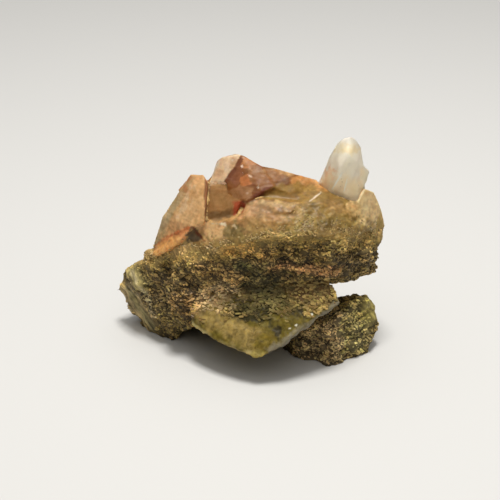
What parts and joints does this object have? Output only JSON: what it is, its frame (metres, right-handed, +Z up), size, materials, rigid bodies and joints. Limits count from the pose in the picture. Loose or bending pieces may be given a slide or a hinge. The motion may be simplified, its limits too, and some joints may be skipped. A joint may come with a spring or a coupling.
{
  "type": "epidote in quartz specimen",
  "caption": "Loose cluster of iron-stained quartz crystals with a clear point, grown on granular olive epidote with a glassy wedge in front; stands on its own feet.",
  "frame": {"origin": "middle of the specimen's box in plan, at the level of the flat feet it stands on", "axes": "+X along the specimen's length to the viewer's right, +Y away from the face with the wedge, +Z up"},
  "size_m": [0.0592, 0.037, 0.0483],
  "materials": {
    "epidote_and_quartz": "granular olive brown with glassy stained quartz on top"
  },
  "bodies": {
    "root": {"epidote_quartz_cluster": "epidote_and_quartz"}
  },
  "joints": []
}
